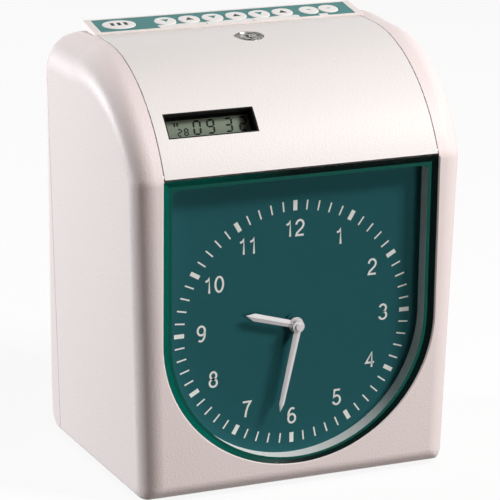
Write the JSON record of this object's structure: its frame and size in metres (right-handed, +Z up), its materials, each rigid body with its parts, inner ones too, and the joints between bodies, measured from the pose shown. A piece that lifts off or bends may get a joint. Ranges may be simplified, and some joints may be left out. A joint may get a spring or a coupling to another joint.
{
  "type": "electronic time clock",
  "caption": "Desk or wall time recorder: moulded case with an analogue dial behind a clear lens, a curved hinged cover with display and lock, a keypad deck and a card slot with printer.",
  "frame": {"origin": "on the table under the feet, below the middle of the case", "axes": "+Z up, +Y towards the back, +X to the right seen from the front"},
  "size_m": [0.2228, 0.15, 0.2613],
  "materials": {
    "case": "satin, fine texture",
    "deck": "satin",
    "rubber": "matte",
    "screw": "zinc plated",
    "lens": "clear, polished",
    "dial": "silk-screened",
    "frame": "matte",
    "movement": "matte",
    "brass": "machined",
    "steel": "machined",
    "hand": "satin white",
    "display_frame": "matte black",
    "display": "polarised",
    "chrome": "polished",
    "overlay": "printed film",
    "key": "satin",
    "board": "solder mask",
    "chassis": "zinc plated sheet",
    "black": "matte",
    "ribbon": "inked",
    "motor": "drawn can",
    "iron": "varnished laminations",
    "cell": "shrink sleeve"
  },
  "bodies": {
    "case": {"main_case": "case", "back_cover": "case", "rubber_feet": "rubber", "case_screws": "screw", "dial_lens": "lens", "dial_plate": "dial", "inner_frame": "frame", "movement_case": "movement", "movement_nut": "brass", "display_frame": "display_frame", "display_glass": "display", "keypad_deck": "deck", "keypad_overlay": "overlay", "keypad_board": "board", "chassis": "chassis", "card_throat": "black", "card_guide_front": "chassis", "card_guide_rear": "chassis", "card_stop": "black", "feed_motor": "motor", "platen": "black", "carriage_rods": "steel", "ribbon_cassette": "black", "ink_ribbon": "ribbon", "carriage_motor": "motor", "main_board": "board", "transformer": "iron", "back_up_cells": "cell", "power_inlet": "black"},
    "front_cover": {"front_cover": "case", "hinge_pins": "steel", "display_window": "lens", "lock_barrel": "chrome", "lock_nut": "steel"},
    "lock": {"lock_plug": "chrome", "lock_cam": "steel", "cam_screw": "screw"},
    "hour_hand": {"hour_hand": "hand", "hour_wheel": "brass"},
    "minute_hand": {"minute_hand": "hand", "minute_arbor": "steel", "hand_nut": "hand"},
    "minute_wheel": {"minute_wheel": "brass"},
    "feed_shaft": {"feed_shaft": "steel", "feed_rollers": "rubber"},
    "feed_pinion": {"feed_pinion": "brass"},
    "pinch_rollers": {"pinch_rollers": "steel"},
    "print_carriage": {"print_carriage": "frame", "print_head": "motor"},
    "carriage_pinion": {"carriage_pinion": "brass"},
    "key_wide": {"key_wide": "key"},
    "key_1": {"key_1": "key"},
    "key_2": {"key_2": "key"},
    "key_3": {"key_3": "key"},
    "key_4": {"key_4": "key"},
    "key_5": {"key_5": "key"},
    "key_6": {"key_6": "key"},
    "key_left": {"key_left": "key"},
    "key_right": {"key_right": "key"}
  },
  "joints": [
    {"name": "cover_hinge", "type": "hinge", "parent": "case", "child": "front_cover", "pos_m": [0, -0.0722, 0.19852], "axis": [1, 0, 0], "range_deg": [0, 110]},
    {"name": "lock_turn", "type": "hinge", "parent": "front_cover", "child": "lock", "pos_m": [0, 0.01085, 0.2561], "axis": [0, -0.0872, 0.9962], "range_deg": [0, 90]},
    {"name": "minute_hand_turn", "type": "hinge", "parent": "case", "child": "minute_hand", "pos_m": [0, 0, 0.099], "axis": [0, 1, 0], "continuous": true},
    {"name": "hour_hand_turn", "type": "hinge", "parent": "case", "child": "hour_hand", "pos_m": [0, 0, 0.099], "axis": [0, 1, 0], "continuous": true},
    {"name": "minute_wheel_turn", "type": "hinge", "parent": "case", "child": "minute_wheel", "pos_m": [0, 0, 0.087], "axis": [0, 1, 0], "continuous": true},
    {"name": "key_wide_press", "type": "slide", "parent": "case", "child": "key_wide", "axis": [0, 0.1495, -0.9888], "range_m": [0, 0.0008], "stiffness_N_per_m": 400},
    {"name": "key_1_press", "type": "slide", "parent": "case", "child": "key_1", "axis": [0, 0.1495, -0.9888], "range_m": [0, 0.0008], "stiffness_N_per_m": 400},
    {"name": "key_2_press", "type": "slide", "parent": "case", "child": "key_2", "axis": [0, 0.1495, -0.9888], "range_m": [0, 0.0008], "stiffness_N_per_m": 400},
    {"name": "key_3_press", "type": "slide", "parent": "case", "child": "key_3", "axis": [0, 0.1495, -0.9888], "range_m": [0, 0.0008], "stiffness_N_per_m": 400},
    {"name": "key_4_press", "type": "slide", "parent": "case", "child": "key_4", "axis": [0, 0.1495, -0.9888], "range_m": [0, 0.0008], "stiffness_N_per_m": 400},
    {"name": "key_5_press", "type": "slide", "parent": "case", "child": "key_5", "axis": [0, 0.1495, -0.9888], "range_m": [0, 0.0008], "stiffness_N_per_m": 400},
    {"name": "key_6_press", "type": "slide", "parent": "case", "child": "key_6", "axis": [0, 0.1495, -0.9888], "range_m": [0, 0.0008], "stiffness_N_per_m": 400},
    {"name": "key_left_press", "type": "slide", "parent": "case", "child": "key_left", "axis": [0, 0.1495, -0.9888], "range_m": [0, 0.0008], "stiffness_N_per_m": 400},
    {"name": "key_right_press", "type": "slide", "parent": "case", "child": "key_right", "axis": [0, 0.1495, -0.9888], "range_m": [0, 0.0008], "stiffness_N_per_m": 400},
    {"name": "feed_shaft_turn", "type": "hinge", "parent": "case", "child": "feed_shaft", "pos_m": [0, 0.0576, 0.122], "axis": [1, 0, 0], "continuous": true},
    {"name": "feed_pinion_turn", "type": "hinge", "parent": "case", "child": "feed_pinion", "pos_m": [0, 0.0408, 0.122], "axis": [1, 0, 0], "continuous": true},
    {"name": "pinch_rollers_turn", "type": "hinge", "parent": "case", "child": "pinch_rollers", "pos_m": [0, 0.0679, 0.122], "axis": [1, 0, 0], "continuous": true},
    {"name": "carriage_slide", "type": "slide", "parent": "case", "child": "print_carriage", "axis": [1, 0, 0], "range_m": [-0.028, 0.028]},
    {"name": "carriage_pinion_turn", "type": "hinge", "parent": "case", "child": "carriage_pinion", "pos_m": [0, 0.0402, 0.1376], "axis": [0, 1, 0], "range_deg": [-280, 280]}
  ],
  "couplings": [
    {"joint": "hour_hand_turn", "follows": "minute_hand_turn", "ratio": 0.083333},
    {"joint": "minute_wheel_turn", "follows": "minute_hand_turn", "ratio": -0.25},
    {"joint": "feed_pinion_turn", "follows": "feed_shaft_turn", "ratio": -2.5},
    {"joint": "pinch_rollers_turn", "follows": "feed_shaft_turn", "ratio": -4.4444},
    {"joint": "carriage_pinion_turn", "follows": "carriage_slide", "rad_per_m": 156.25}
  ]
}
